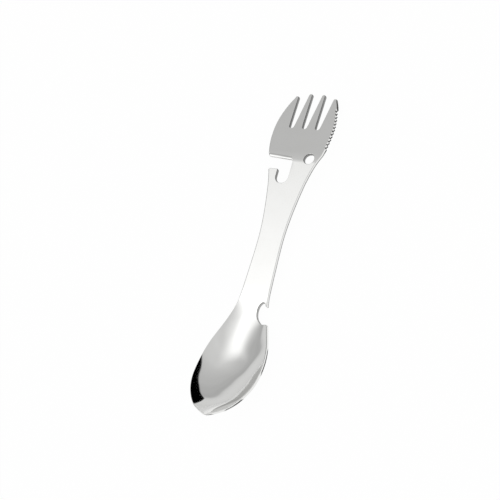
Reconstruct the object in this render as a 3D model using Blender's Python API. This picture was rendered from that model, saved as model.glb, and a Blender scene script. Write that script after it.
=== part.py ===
"""Camping spork: one stamped and pressed piece of polished stainless sheet, in metres, +Z up.

It lies as it rests on a table, hollow side up: the fork end points along +Y, the bowl along -Y, and the
serrated edge is on +X. The origin is under the middle of its length and width, on the table.

The blank is drawn flat in plan, with X across and "along" measured from the tip of the bowl. Its rounded
edges are swept round that outline, its two faces are filled, and the press then shifts every point
straight up or down to the side view: bowl, straight handle and the bend at the neck.
"""

import math

import bmesh
import bpy
import numpy as np
from mathutils import Vector
from mathutils.geometry import delaunay_2d_cdt, interpolate_bezier

# Driving sizes of the blank
LENGTH = 0.170
BOWL_WIDTH = 0.0341
SHEET = 0.002
EDGE_ROUND = 0.00035
EDGE_LEAN_SHARE = 0.25

# Fork head
HEAD_WIDTH = 0.0320
TINE_PITCH_SHARE = 0.219
TINE_LENGTH = 0.0197
TINE_TIP_ROUND = 0.0010
OUTER_TINE_TIP_ROUND = 0.0007
OUTER_TINE_DROP = 0.0018
SLOT_ROOT_RADIUS = 0.00105
SLOT_MOUTH_SHARE = 0.742

# Serrated edge on the outer tine
SCALLOPS = 12
SCALLOP_DEPTH = 0.00055
TOOTH_ROUND = 0.00012

# Lanyard hole beside the neck
HOLE_DIAMETER = 0.0051
HOLE_WALL = 0.0024
HOLE_FROM_TINE_ROOT = 0.0162

# Can opener: a bevelled cutting edge under the head, a mouth, and a deep slot beside a post
CUTTING_EDGE_FROM_TINE_ROOT = 0.0172
CUTTING_EDGE_SLANT = 0.0009
OPENER_MOUTH = 0.0052
OPENER_SLOT_WIDTH = 0.0065
OPENER_SLOT_DEPTH = 0.0070
OPENER_CORNER_RADIUS = 0.0008
OPENER_WALL_ACROSS = 0.0004
BEVEL_WIDTH = 0.0016
BEVEL_EDGE_THICKNESS = 0.0007

# Bottle opener: a rounded bite with a hook over it, just above the bowl
BITE_FROM_TIP = 0.0507
BITE_MOUTH = 0.0086
BITE_DEPTH = 0.0058
HOOK_RADIUS = 0.00045
LIP_RADIUS = 0.0008

# Side view, as heights of the hollow side above the table
NECK_HEIGHT = 0.0074
NECK_BEND_FROM_TINE_ROOT = 0.0158
NECK_BEND_LENGTH = 0.0032
HANDLE_END_HEIGHT = 0.00447
HANDLE_END_FROM_TIP = 0.062
RIM_TIP_HEIGHT = 0.0163
BOWL_FULLNESS_SHARE = 0.05

# Spacing of the mesh
CURVE_STEP = 0.0011
TIGHT_STEP = 0.0005
STRAIGHT_STEP = 0.0034
BOWL_GRID = 0.0018
HANDLE_GRID = 0.0045
EDGE_SEGMENTS = 2
TOOTH_SEGMENTS = 6
CUT_OVERRUN = 0.003

# Half width from the bowl's tip to the neck: share of LENGTH, share of half of BOWL_WIDTH
BODY_SHARES = [
    (0.000, 0.000), (0.005, 0.165), (0.013, 0.323), (0.023, 0.474), (0.039, 0.633), (0.058, 0.766),
    (0.078, 0.869), (0.099, 0.943), (0.121, 0.986), (0.145, 1.000), (0.168, 0.995), (0.191, 0.972),
    (0.214, 0.931), (0.235, 0.875), (0.255, 0.803), (0.275, 0.724), (0.294, 0.649), (0.312, 0.586),
    (0.331, 0.524), (0.353, 0.477), (0.377, 0.447), (0.412, 0.427), (0.459, 0.407), (0.506, 0.390),
    (0.541, 0.384), (0.576, 0.395), (0.612, 0.424), (0.647, 0.467), (0.682, 0.520), (0.709, 0.566),
    (0.744, 0.652), (0.765, 0.715), (0.785, 0.792), (0.805, 0.878),
]
# Outlines of the head: share of TINE_LENGTH past the roots of the tines, share of half of HEAD_WIDTH
HEAD_SHARES = [
    (-0.84, 0.826), (-0.72, 0.868), (-0.60, 0.912), (-0.46, 0.953), (-0.31, 0.982), (-0.14, 0.998),
    (0.00, 1.000), (0.14, 0.989), (0.30, 0.958), (0.47, 0.907), (0.65, 0.831), (0.75, 0.779), (0.91, 0.681),
]
SERRATED_SHARES = [
    (-0.507, 0.963), (-0.36, 0.975), (-0.20, 0.984), (-0.04, 0.985), (0.10, 0.975), (0.26, 0.944),
    (0.42, 0.896), (0.53, 0.855), (0.615, 0.816),
]
# The bottle opener's bite from its lip round to the hook: share of BITE_MOUTH, share of BITE_DEPTH
# under the plain side
BITE_SHARES = [
    (0.00, 0.482), (0.03, 0.627), (0.15, 0.809), (0.28, 0.936), (0.43, 1.000), (0.60, 1.000), (0.79, 0.945),
    (0.97, 0.836), (1.12, 0.665), (1.20, 0.502), (1.20, 0.345), (1.13, 0.240), (1.04, 0.187),
]
# Rim of the bowl in side view: share of LENGTH from the tip, share of its rise over the handle's line
RIM_RISE_SHARES = [
    (0.000, 1.000), (0.041, 0.775), (0.082, 0.605), (0.129, 0.432), (0.176, 0.282), (0.224, 0.168),
    (0.276, 0.077), (0.329, 0.018), (0.390, 0.000),
]
# Floor of the bowl in side view: share of LENGTH, share of the way from the lying sheet up to the rim
FLOOR_SHARES = [
    (0.000, 1.000), (0.018, 0.900), (0.047, 0.727), (0.082, 0.553), (0.118, 0.346), (0.153, 0.127),
    (0.179, 0.030), (0.202, 0.000), (0.226, 0.019), (0.256, 0.077), (0.294, 0.142), (0.335, 0.345),
    (0.365, 0.770), (0.390, 1.000),
]

HALF_BOWL = BOWL_WIDTH / 2
HALF_HEAD = HEAD_WIDTH / 2
TINE_PITCH = HEAD_WIDTH * TINE_PITCH_SHARE
SLOT_MOUTH = TINE_PITCH * SLOT_MOUTH_SHARE
TINE_ROOT = LENGTH - TINE_LENGTH
NECK_BEND = TINE_ROOT - NECK_BEND_FROM_TINE_ROOT
CUTTING_EDGE = TINE_ROOT - CUTTING_EDGE_FROM_TINE_ROOT
POST_TOP = CUTTING_EDGE - OPENER_MOUTH
HANDLE_SLOPE = (NECK_HEIGHT - HANDLE_END_HEIGHT) / (NECK_BEND - HANDLE_END_FROM_TIP)
HEAD_SLOPE = (SHEET - NECK_HEIGHT) / (LENGTH - NECK_BEND)
FLAT_HANDLE_FROM = LENGTH * FLOOR_SHARES[-1][0]


def table_points(table, origin, unit_along, unit_across):
    return [(across * unit_across, origin + along * unit_along) for along, across in table]


def smooth_curve(points, step, start_direction=None):
    """A smooth curve through the points, as points about one step apart."""
    knots = [Vector((x, y, 0)) for x, y in points]
    spans = [b - a for a, b in zip(knots, knots[1:])]
    directions = [span.normalized() for span in spans]
    tangents = [start_direction or directions[0]]
    for (before, after), (a, b) in zip(zip(spans, spans[1:]), zip(directions, directions[1:])):
        tangents.append((a * after.length + b * before.length) / (before.length + after.length))
    tangents.append(directions[-1])
    found = []
    for index, span in enumerate(spans):
        reach = span.length / 3
        count = max(2, math.ceil(span.length / step) + 1)
        first, last = knots[index], knots[index + 1]
        handles = first + tangents[index] * reach, last - tangents[index + 1] * reach
        found += interpolate_bezier(first, *handles, last, count)[:-1]
    found.append(knots[-1])
    return [(point.x, point.y) for point in found]


def stretch(curve, start, end, step):
    """The part of a curve between two values of along, as points about one step apart."""
    line = np.array(curve)
    travelled = np.concatenate([[0], np.cumsum(np.hypot(*np.diff(line, axis=0).T))])
    low, high = np.interp([start, end], line[:, 1], travelled)
    count = max(2, math.ceil((high - low) / step) + 1)
    at = np.linspace(low, high, count)
    return list(zip(np.interp(at, travelled, line[:, 0]), np.interp(at, travelled, line[:, 1])))


def smooth_value(table, place):
    """The value of a smooth curve through a table's rows at one place."""
    places, values = (np.array(column) for column in zip(*table))
    gaps = np.diff(places)
    slopes = np.diff(values) / gaps
    inner = (slopes[:-1] * gaps[1:] + slopes[1:] * gaps[:-1]) / (gaps[:-1] + gaps[1:])
    tangents = np.concatenate([slopes[:1], inner, [0]])
    span = int(np.clip(np.searchsorted(places, place, side="right") - 1, 0, len(gaps) - 1))
    t = min(max((place - places[span]) / gaps[span], 0), 1)
    rise = gaps[span] * (tangents[span] * (t - 1) ** 2 + tangents[span + 1] * t * (t - 1)) * t
    return values[span] + (values[span + 1] - values[span]) * t * t * (3 - 2 * t) + rise


def arc(x, y, radius_x, radius_y, start, end, step):
    """Points of an arc, or of a stretched one, from one angle in degrees to another."""
    turn = math.radians(end - start)
    count = max(3, math.ceil(abs(turn) * max(radius_x, radius_y) / step) + 1)
    angles = [math.radians(start) + turn * k / (count - 1) for k in range(count)]
    return [(x + radius_x * math.cos(angle), y + radius_y * math.sin(angle)) for angle in angles]


def corner(x, y, radius, start, end):
    return arc(x, y, radius, radius, start, end, TIGHT_STEP)


def mirrored(points):
    return [(-x, y) for x, y in reversed(points)]


FINE = TIGHT_STEP / 4
BODY = smooth_curve(table_points(BODY_SHARES, 0, LENGTH, HALF_BOWL), FINE, Vector((1, 0, 0)))
HEAD = smooth_curve(table_points(HEAD_SHARES, TINE_ROOT, TINE_LENGTH, HALF_HEAD), FINE)
SERRATED = smooth_curve(table_points(SERRATED_SHARES, TINE_ROOT, TINE_LENGTH, HALF_HEAD), FINE)
BODY_HALF_WIDTH, BODY_ALONG = np.array(BODY).T
HEAD_HALF_WIDTH, HEAD_ALONG = np.array(HEAD).T


def half_width(along):
    return float(np.interp(along, BODY_ALONG, BODY_HALF_WIDTH))


def head_half_width(along):
    return float(np.interp(along, HEAD_ALONG, HEAD_HALF_WIDTH))


def slot_half_width(past_root):
    """The slots between the tines widen evenly from their round roots to their mouths."""
    return SLOT_ROOT_RADIUS + (SLOT_MOUTH / 2 - SLOT_ROOT_RADIUS) * past_root / TINE_LENGTH


def bottle_opener():
    """Lip, bite and hook, from the bowl's shoulder up to the handle's side."""
    lip_across = half_width(BITE_FROM_TIP)
    bite = []
    for up, depth in BITE_SHARES:
        along = BITE_FROM_TIP + up * BITE_MOUTH
        bite.append((half_width(along) - depth * BITE_DEPTH, along))
    hook_along = bite[-1][1]
    hook_across = half_width(hook_along) - HOOK_RADIUS
    return (
        corner(lip_across - LIP_RADIUS, BITE_FROM_TIP - LIP_RADIUS, LIP_RADIUS, 10, 90)
        + smooth_curve(bite, CURVE_STEP, Vector((-1, 0, 0)))
        + corner(hook_across, hook_along, HOOK_RADIUS, 190, 360)
    )


def serration():
    """Round scallops cut side by side along the serrated curve, meeting in pointed teeth."""
    base = stretch(SERRATED, SERRATED[0][1], SERRATED[-1][1], TIGHT_STEP)
    line = np.array(base)
    travelled = np.concatenate([[0], np.cumsum(np.hypot(*np.diff(line, axis=0).T))])
    found = []
    for index in range(SCALLOPS * TOOTH_SEGMENTS + 1):
        at = travelled[-1] * index / (SCALLOPS * TOOTH_SEGMENTS)
        x, y = np.interp(at, travelled, line[:, 0]), np.interp(at, travelled, line[:, 1])
        depth = SCALLOP_DEPTH * abs(math.sin(math.pi * index / TOOTH_SEGMENTS))
        found.append((x - depth, y))
    return found


def tines():
    """Tips and slots of the four tines, from the serrated side across to the plain one."""
    outer_tip = LENGTH - OUTER_TINE_DROP - OUTER_TINE_TIP_ROUND
    inner_tip = LENGTH - TINE_TIP_ROUND
    outer_edge = head_half_width(outer_tip)
    outer_inner = TINE_PITCH + slot_half_width(outer_tip - TINE_ROOT)
    outer_centre = (outer_edge + outer_inner) / 2
    outer_round = (outer_edge - outer_inner) / 2
    inner_round = TINE_PITCH / 2 - slot_half_width(inner_tip - TINE_ROOT)
    tips = [
        (outer_centre, outer_tip, outer_round, OUTER_TINE_TIP_ROUND),
        (TINE_PITCH / 2, inner_tip, inner_round, TINE_TIP_ROUND),
        (-TINE_PITCH / 2, inner_tip, inner_round, TINE_TIP_ROUND),
        (-outer_centre, outer_tip, outer_round, OUTER_TINE_TIP_ROUND),
    ]
    root = TINE_ROOT + SLOT_ROOT_RADIUS
    found = arc(*tips[0], 0, 180, TIGHT_STEP)
    for slot, (before, after) in zip((TINE_PITCH, 0, -TINE_PITCH), zip(tips, tips[1:])):
        for side, top in ((1, before[1]), (-1, after[1])):
            wall = []
            steps = math.ceil((top - root) / STRAIGHT_STEP) + 1
            for k in range(1, steps):
                along = root + (top - root) * k / steps
                wall.append((slot + side * slot_half_width(along - TINE_ROOT), along))
            if side == 1:
                found += wall[::-1] + corner(slot, root, SLOT_ROOT_RADIUS, 0, -180)
            else:
                found += wall
        found += arc(*after, 0, 180, TIGHT_STEP)
    return found


def can_opener():
    """Cutting edge, mouth, slot and post, from the head's plain side down to the handle's."""
    outer_end = CUTTING_EDGE + CUTTING_EDGE_SLANT
    radius = OPENER_CORNER_RADIUS
    slot_radius = OPENER_SLOT_WIDTH / 2
    slot_across = OPENER_WALL_ACROSS - slot_radius
    slot_bottom = POST_TOP - OPENER_SLOT_DEPTH + slot_radius
    post_inner = OPENER_WALL_ACROSS - OPENER_SLOT_WIDTH
    post_outer = -half_width(POST_TOP - radius)
    return (
        corner(radius - head_half_width(outer_end), outer_end + radius, radius, 195, 270)
        + corner(OPENER_WALL_ACROSS - radius, CUTTING_EDGE - radius, radius, 90, 0)
        + arc(slot_across, slot_bottom, slot_radius, slot_radius, 0, -180, CURVE_STEP)
        + corner(post_inner - radius, POST_TOP - radius, radius, 0, 90)
        + corner(post_outer + radius, POST_TOP - radius, radius, 90, 170)
    )


def outline():
    """The blank's outline, anticlockwise from the tip of the bowl, and the round of each point's edge."""
    bottle = bottle_opener()
    teeth = serration()
    shoulder = bottle[0][1] - TIGHT_STEP
    hook_end = bottle[-1][1]
    teeth_start, teeth_end = SERRATED[0][1], SERRATED[-1][1]
    tip_start = LENGTH - OUTER_TINE_DROP - OUTER_TINE_TIP_ROUND
    opener = can_opener()
    bowl = stretch(BODY, 0, shoulder, CURVE_STEP)
    bowl_left = stretch(BODY, 0, hook_end, CURVE_STEP)
    handle = stretch(BODY, hook_end, POST_TOP, STRAIGHT_STEP)
    neck = stretch(BODY, POST_TOP, teeth_start, CURVE_STEP)
    tip = stretch(HEAD, teeth_end, tip_start, CURVE_STEP)
    handle_left = stretch(BODY, hook_end, opener[-1][1] - TIGHT_STEP, STRAIGHT_STEP)
    head_left = stretch(HEAD, opener[0][1] + TIGHT_STEP, tip_start, CURVE_STEP)
    pieces = [
        (bowl, EDGE_ROUND), (bottle, EDGE_ROUND), (handle[1:], EDGE_ROUND), (neck[1:-1], EDGE_ROUND),
        (teeth, TOOTH_ROUND), (tip[:-1], EDGE_ROUND), (tines(), EDGE_ROUND),
        (mirrored(head_left)[1:], EDGE_ROUND), (opener, EDGE_ROUND), (mirrored(handle_left), EDGE_ROUND),
        (mirrored(bowl_left)[1:-1], EDGE_ROUND),
    ]
    points = [point for piece, _ in pieces for point in piece]
    rounds = [edge for piece, edge in pieces for _ in piece]
    return np.array(points), np.array(rounds)


def hole_outline():
    """The lanyard hole, clockwise, so that the metal stays on the left."""
    radius = HOLE_DIAMETER / 2
    along = TINE_ROOT - HOLE_FROM_TINE_ROOT
    centre = half_width(along) - HOLE_WALL - radius, along
    points = np.array(arc(*centre, radius, radius, 360, 0, TIGHT_STEP))[:-1]
    return points, np.full(len(points), EDGE_ROUND)


def inward(points):
    """Unit steps into the metal at each point, lengthened at corners so that both sides move alike."""
    after = np.roll(points, -1, axis=0) - points
    after /= np.linalg.norm(after, axis=1, keepdims=True)
    before = np.roll(after, 1, axis=0)
    middle = before + after
    middle /= np.linalg.norm(middle, axis=1, keepdims=True)
    normal = np.stack([-middle[:, 1], middle[:, 0]], axis=1)
    spread = np.clip((middle * after).sum(axis=1), 0.7, 1)
    return normal / spread[:, None]


def edge_sections(points, rounds):
    """Loops round one outline from the front face's border, over the rounded edge, to the back's."""
    steps = inward(points)
    turns = [math.pi / 2 * k / EDGE_SEGMENTS for k in range(EDGE_SEGMENTS, -1, -1)]
    loops = []
    for turn in turns:
        inset = points + steps * (rounds * (1 - math.cos(turn)))[:, None]
        loops.append(np.column_stack([inset, rounds * (1 - math.sin(turn))]))
    return loops + [loop * (1, 1, -1) + (0, 0, SHEET) for loop in reversed(loops)]


def inside(loop, places):
    """Which places lie inside a closed loop."""
    ends = np.roll(loop, -1, axis=0)
    x, y = places[:, :1], places[:, 1:]
    crosses = (loop[:, 1] > y) != (ends[:, 1] > y)
    rise = np.where(ends[:, 1] == loop[:, 1], 1, ends[:, 1] - loop[:, 1])
    at = loop[:, 0] + (y - loop[:, 1]) / rise * (ends[:, 0] - loop[:, 0])
    return (crosses & (x < at)).sum(axis=1) % 2 == 1


def clear_of(loops, places, least):
    """Which places lie further than least from every side of the loops."""
    found = np.ones(len(places), bool)
    for loop in loops:
        side = np.roll(loop, -1, axis=0) - loop
        offset = places[:, None] - loop
        share = np.clip((offset * side).sum(axis=2) / (side**2).sum(axis=1), 0, 1)
        gap = np.linalg.norm(offset - share[..., None] * side, axis=2).min(axis=1)
        found &= gap > least
    return found


def grid(low, high, spacing):
    """Staggered rows of places across the blank between two values of along."""
    places = []
    rows = max(2, round((high - low) / spacing) + 1)
    columns = math.ceil(HALF_BOWL / spacing)
    for row in range(rows):
        along = low + (high - low) * row / (rows - 1)
        shift = spacing / 2 * (row % 2)
        places += [(column * spacing + shift, along) for column in range(-columns, columns + 1)]
    return np.array(places)


def face_places(border, hole):
    """Places inside the faces: close in the bowl and at the bend, wide where the sheet stays flat."""
    bend_low, bend_high = NECK_BEND - NECK_BEND_LENGTH / 2, NECK_BEND + NECK_BEND_LENGTH / 2
    zones = [
        (0, FLAT_HANDLE_FROM, BOWL_GRID),
        (FLAT_HANDLE_FROM + HANDLE_GRID, bend_low - HANDLE_GRID, HANDLE_GRID),
        (bend_low, bend_high, NECK_BEND_LENGTH / 4),
        (bend_high + HANDLE_GRID, LENGTH, HANDLE_GRID),
    ]
    found = []
    for low, high, spacing in zones:
        places = grid(low, high, spacing)
        places = places[inside(border, places) & ~inside(hole, places)]
        found.append(places[clear_of([border, hole], places, spacing * 0.55)])
    return np.concatenate(found)


def press_height(across, along):
    """Height of the hollow side above the table after pressing."""
    height = HANDLE_END_HEIGHT + HANDLE_SLOPE * (along - HANDLE_END_FROM_TIP)
    if along < FLAT_HANDLE_FROM:
        tip_rise = RIM_TIP_HEIGHT - HANDLE_END_HEIGHT + HANDLE_SLOPE * HANDLE_END_FROM_TIP
        rim = height + tip_rise * smooth_value(RIM_RISE_SHARES, along / LENGTH)
        floor = SHEET + (rim - SHEET) * smooth_value(FLOOR_SHARES, along / LENGTH)
        half = max(half_width(along), EDGE_ROUND)
        fuller = 1 + BOWL_FULLNESS_SHARE * (half**2 - across**2) / HALF_BOWL**2
        return floor + (rim - floor) * (across / half) ** 2 * fuller
    past = along - NECK_BEND + NECK_BEND_LENGTH / 2
    if past > NECK_BEND_LENGTH:
        return height + (HEAD_SLOPE - HANDLE_SLOPE) * (along - NECK_BEND)
    if past > 0:
        return height + (HEAD_SLOPE - HANDLE_SLOPE) * past**2 / (2 * NECK_BEND_LENGTH)
    return height


def pressed(across, along, depth):
    """Where a point of the flat blank ends up: depth is how far it lies under the hollow side.

    The sheet's thickness leans from upright a part of the way towards square with the pressed surface.
    """
    reach = EDGE_ROUND
    across_rise = press_height(across + reach, along) - press_height(across - reach, along)
    along_rise = press_height(across, along + reach) - press_height(across, along - reach)
    square = Vector((-across_rise, -along_rise, 2 * reach)).normalized()
    lean = Vector((0, 0, 1)).lerp(square, EDGE_LEAN_SHARE).normalized()
    return Vector((across, along - LENGTH / 2, press_height(across, along))) - lean * depth


def fill_face(loops, places):
    """Triangles between the border, the hole and the inner places, as indices into all of them."""
    points = np.concatenate(loops + [places])
    edges, start = [], 0
    for loop in loops:
        count = len(loop)
        edges += [(start + k, start + (k + 1) % count) for k in range(count)]
        start += count
    corners = [Vector((x, y)) for x, y in points / SHEET]
    _, _, faces, sources, _, _ = delaunay_2d_cdt(corners, edges, [], 1, 1e-6)
    triangles = np.array([[sources[corner][0] for corner in face] for face in faces])
    centres = points[triangles].mean(axis=1)
    return triangles[inside(loops[0], centres) & ~inside(loops[1], centres)]


def build_blank(name):
    """The flat blank: edges swept round both outlines and two filled faces, then pressed to shape."""
    outer, hole = edge_sections(*outline()), edge_sections(*hole_outline())
    border, rim_of_hole = outer[0][:, :2], hole[0][:, :2]
    places = face_places(border, rim_of_hole)
    triangles = fill_face([border, rim_of_hole], places)

    part = bmesh.new()

    def add(rows):
        return [part.verts.new(pressed(*row)) for row in rows]

    faces = [[], []]
    for sections in (outer, hole):
        rings = [add(section) for section in sections]
        for ring, following in zip(rings, rings[1:]):
            for k, vertex in enumerate(ring):
                part.faces.new((vertex, following[k], following[k - 1], ring[k - 1]))
        faces[0] += rings[0]
        faces[1] += rings[-1]
    for side, depth in enumerate((0, SHEET)):
        faces[side] += add(np.column_stack([places, np.full(len(places), depth)]))
        for triangle in triangles:
            part.faces.new([faces[side][k] for k in triangle])
    bmesh.ops.recalc_face_normals(part, faces=part.faces)
    places = np.array([vertex.co for vertex in part.verts])
    middle, base = (places.min(axis=0) + places.max(axis=0)) / 2, places.min(axis=0)[2]
    bmesh.ops.translate(part, verts=part.verts, vec=Vector((-middle[0], -middle[1], -base)))
    mesh = bpy.data.meshes.new(name)
    part.to_mesh(mesh)
    part.free()
    mesh.shade_smooth()
    mesh.set_sharp_from_angle(angle=math.radians(50))
    blank = bpy.data.objects.new(name, mesh)
    bpy.context.collection.objects.link(blank)
    return blank


def bevel_cutter():
    """A wedge that takes the front of the can opener's cutting edge down to a thin land."""
    inner_end = OPENER_WALL_ACROSS - OPENER_CORNER_RADIUS
    outer_end = -HALF_HEAD - CUT_OVERRUN
    slant = CUTTING_EDGE_SLANT / (head_half_width(CUTTING_EDGE) + inner_end)
    corners = []
    for across in (outer_end, inner_end):
        edge = CUTTING_EDGE + slant * (inner_end - across)
        top_along = edge + BEVEL_WIDTH
        top = press_height(0, top_along)
        land = press_height(0, edge) - SHEET + BEVEL_EDGE_THICKNESS
        slope = (top - land) / BEVEL_WIDTH
        low, high = edge - CUT_OVERRUN, top_along + CUT_OVERRUN
        for along in (low, high):
            corners.append((across, along, land + slope * (along - edge)))
        lifted = land + slope * (high - edge) + CUT_OVERRUN
        corners += [(across, high, lifted), (across, low, lifted)]
    wedge = bmesh.new()
    ends = [wedge.verts.new((x, along - LENGTH / 2, z)) for x, along, z in corners]
    wedge.faces.new(ends[:4])
    wedge.faces.new(ends[7:3:-1])
    for k in range(4):
        following = (k + 1) % 4
        wedge.faces.new((ends[k], ends[k + 4], ends[following + 4], ends[following]))
    bmesh.ops.recalc_face_normals(wedge, faces=wedge.faces)
    mesh = bpy.data.meshes.new("opener_bevel_cutter")
    wedge.to_mesh(mesh)
    wedge.free()
    cutter = bpy.data.objects.new(mesh.name, mesh)
    bpy.context.collection.objects.link(cutter)
    cutter.hide_render = True
    cutter.display_type = "WIRE"
    return cutter


def polished_stainless():
    material = bpy.data.materials.new("polished_stainless")
    material.use_nodes = True
    shader = material.node_tree.nodes["Principled BSDF"]
    shader.inputs["Base Color"].default_value = (0.74, 0.74, 0.73, 1)
    shader.inputs["Metallic"].default_value = 1
    shader.inputs["Roughness"].default_value = 0.12
    return material


def main():
    for old in list(bpy.data.objects):
        bpy.data.objects.remove(old)
    spork = build_blank("spork")
    spork.data.materials.append(polished_stainless())
    cut = spork.modifiers.new("opener_bevel", "BOOLEAN")
    cut.operation = "DIFFERENCE"
    cut.solver = "EXACT"
    cut.object = bevel_cutter()


main()
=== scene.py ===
import math

import bpy
import numpy as np
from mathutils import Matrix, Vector
from mathutils.geometry import delaunay_2d_cdt, interpolate_bezier


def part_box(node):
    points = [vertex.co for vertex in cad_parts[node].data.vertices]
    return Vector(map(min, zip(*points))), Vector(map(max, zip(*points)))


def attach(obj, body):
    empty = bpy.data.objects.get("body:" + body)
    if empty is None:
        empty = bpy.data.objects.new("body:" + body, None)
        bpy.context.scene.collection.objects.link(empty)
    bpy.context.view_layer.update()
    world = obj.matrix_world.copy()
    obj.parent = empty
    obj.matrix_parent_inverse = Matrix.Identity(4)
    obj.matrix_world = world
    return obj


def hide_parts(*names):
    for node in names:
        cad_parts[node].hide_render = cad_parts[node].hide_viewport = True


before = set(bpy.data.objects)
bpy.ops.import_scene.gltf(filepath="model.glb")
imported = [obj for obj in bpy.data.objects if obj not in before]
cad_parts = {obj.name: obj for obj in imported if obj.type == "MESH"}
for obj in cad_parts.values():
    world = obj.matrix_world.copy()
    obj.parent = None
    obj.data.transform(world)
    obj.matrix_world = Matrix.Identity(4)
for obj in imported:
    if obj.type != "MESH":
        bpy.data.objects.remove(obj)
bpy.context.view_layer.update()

# The camping spork's visible sheet, drawn again from the same sizes as the CAD part, in metres, but with a
# finer mesh and exact normals, so that its polished faces reflect the studio without ripples.

# Driving sizes of the blank
LENGTH = 0.170
BOWL_WIDTH = 0.0341
SHEET = 0.002
EDGE_ROUND = 0.00035
PLAIN_SIDE_ROUND = 0.00065
EDGE_LEAN_SHARE = 0.25

# Fork head
HEAD_WIDTH = 0.0320
TINE_PITCH_SHARE = 0.219
TINE_LENGTH = 0.0197
TINE_TIP_ROUND = 0.0010
OUTER_TINE_TIP_ROUND = 0.0007
OUTER_TINE_DROP = 0.0018
SLOT_ROOT_RADIUS = 0.00105
SLOT_MOUTH_SHARE = 0.742
SCALLOPS = 12
SCALLOP_DEPTH = 0.00055
TOOTH_ROUND = 0.00012
HOLE_DIAMETER = 0.0051
HOLE_WALL = 0.0024
HOLE_FROM_TINE_ROOT = 0.0162

# Openers
CUTTING_EDGE_FROM_TINE_ROOT = 0.0172
CUTTING_EDGE_SLANT = 0.0009
OPENER_MOUTH = 0.0052
OPENER_SLOT_WIDTH = 0.0065
OPENER_SLOT_DEPTH = 0.0070
OPENER_CORNER_RADIUS = 0.0008
OPENER_WALL_ACROSS = 0.0004
BEVEL_WIDTH = 0.0016
BEVEL_EDGE_THICKNESS = 0.0007
BEVEL_END_WALL = 0.00012
# How much the bevel's normals turn from its edge to its top, and the share of the way where they are level
# with the flat bevel's
BEVEL_HOLLOW_DEGREES = 18
BEVEL_HOLLOW_MIDDLE = 0.6
BITE_FROM_TIP = 0.0507
BITE_MOUTH = 0.0086
BITE_DEPTH = 0.0058
HOOK_RADIUS = 0.00045
LIP_RADIUS = 0.0008

# Side view, as heights of the hollow side above the table
NECK_HEIGHT = 0.0074
NECK_BEND_FROM_TINE_ROOT = 0.0158
NECK_BEND_LENGTH = 0.0055
HANDLE_END_HEIGHT = 0.00447
HANDLE_END_FROM_TIP = 0.062
RIM_TIP_HEIGHT = 0.0163
BOWL_FULLNESS_SHARE = 0.05
BITE_SIDE_DIP = 0.0005
BITE_SIDE_MIDDLE = 0.0085
# The rim's curve this close to the bowl's tip runs on straight, at its slope over the next steps
TIP_REACH = 0.003
TIP_STEPS = 20

# The studio. Room levels go by the height of the direction, from straight down at -1 to overhead at 1.
ROOM_LEVELS = [
    (-1.00, 0.60), (-0.15, 0.57), (-0.05, 0.62), (0.03, 0.73), (0.10, 0.75), (0.18, 0.76), (0.24, 0.75),
    (0.29, 0.73), (0.34, 0.66), (0.38, 0.49), (0.42, 0.475), (0.46, 0.505), (0.50, 0.505), (0.56, 0.55),
    (0.62, 0.56), (0.68, 0.59), (0.74, 0.61), (0.79, 0.645), (0.84, 0.69), (0.88, 0.70), (0.92, 0.71),
    (0.95, 0.735), (0.975, 0.70), (1.00, 0.90),
]
# Edges of the softbox, of a strip light and of a black card, each as a direction and how far along it the
# edge starts and ends, followed by the level inside the edges.
SOFTBOX_EDGES = [
    ((0.420, -0.761, -0.494), -0.885, -0.700),
    ((0.170, 0.000, 0.986), 0.376, 0.777),
    ((-0.964, -0.125, -0.233), -0.370, 0.342),
]
SOFTBOX_LEVEL = 2.0
STRIP_EDGES = [
    ((-0.656, -0.755, 0.000), 0.500, 0.700),
    ((0.000, 0.000, 1.000), 0.480, 0.560),
]
STRIP_LEVEL = 1.1
CARD_EDGES = [
    ((0.527, -0.153, -0.806), -0.530, -0.516),
    ((0.488, 0.841, 0.230), 0.736, 0.750),
    ((-0.682, 0.731, 0.000), -0.020, 0.020),
]
CARD_LEVEL = 0.0
# The white table's glow, for the camera and for what the spork reflects of it close by. It fades over the
# distance from the middle of the spork, counted shorter along it.
FLOOR_REACH = 3
FLOOR_COLOUR = (0.95, 0.95, 0.95, 1)
FLOOR_GLOW = 0.975
GLOW_FADE = 0.035, 0.090
GLOW_SHAPE = 1, 0.25, 0

CAMERA_PLACE = 0.74364, -0.46062, 1.21826
CAMERA_DEGREES = 26.517, 25.372, 17.812
CAMERA_LENS = 230.1
CAMERA_SENSOR = 36
CAMERA_CLIP = 0.01, 20

# Colours of the steel, and where its dull walls carry more painted shade or a painted sheen, from the middle of
# the spork: more painted shade, for the dark floor these walls reflect, on the serrated side past the handle's
# two ends, and a painted sheen, for the light the wall reflects there, in the bottle opener's bite.
POLISHED = (0.79, 0.79, 0.775, 1), (0.83, 0.83, 0.82, 1)
POLISHED_ROUGHNESS = 0.04, 0.07
# Dull walls: rough stamped steel whose dark grey is partly painted shade for the shadowed floor these walls
# reflect
DULL_SHADED = (0.24, 0.24, 0.236, 1), (0.32, 0.32, 0.315, 1)
# Painted shade: near black for the serrated side's walls, standing in for the shadowed floor they reflect
PAINTED_SHADE = (0.06, 0.06, 0.058, 1)
PAINTED_SHADE_ACROSS = 0.0105, 0.0125
PAINTED_SHADE_MIDDLE = 0.012
PAINTED_SHADE_PAST = 0.040, 0.043
# Painted sheen: the bite's wall is painted a paler grey for the light that it reflects
PAINTED_SHEEN = (0.43, 0.43, 0.423, 1)
PAINTED_SHEEN_MIDDLE = -0.0285
PAINTED_SHEEN_WITHIN = 0.007, 0.009

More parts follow.
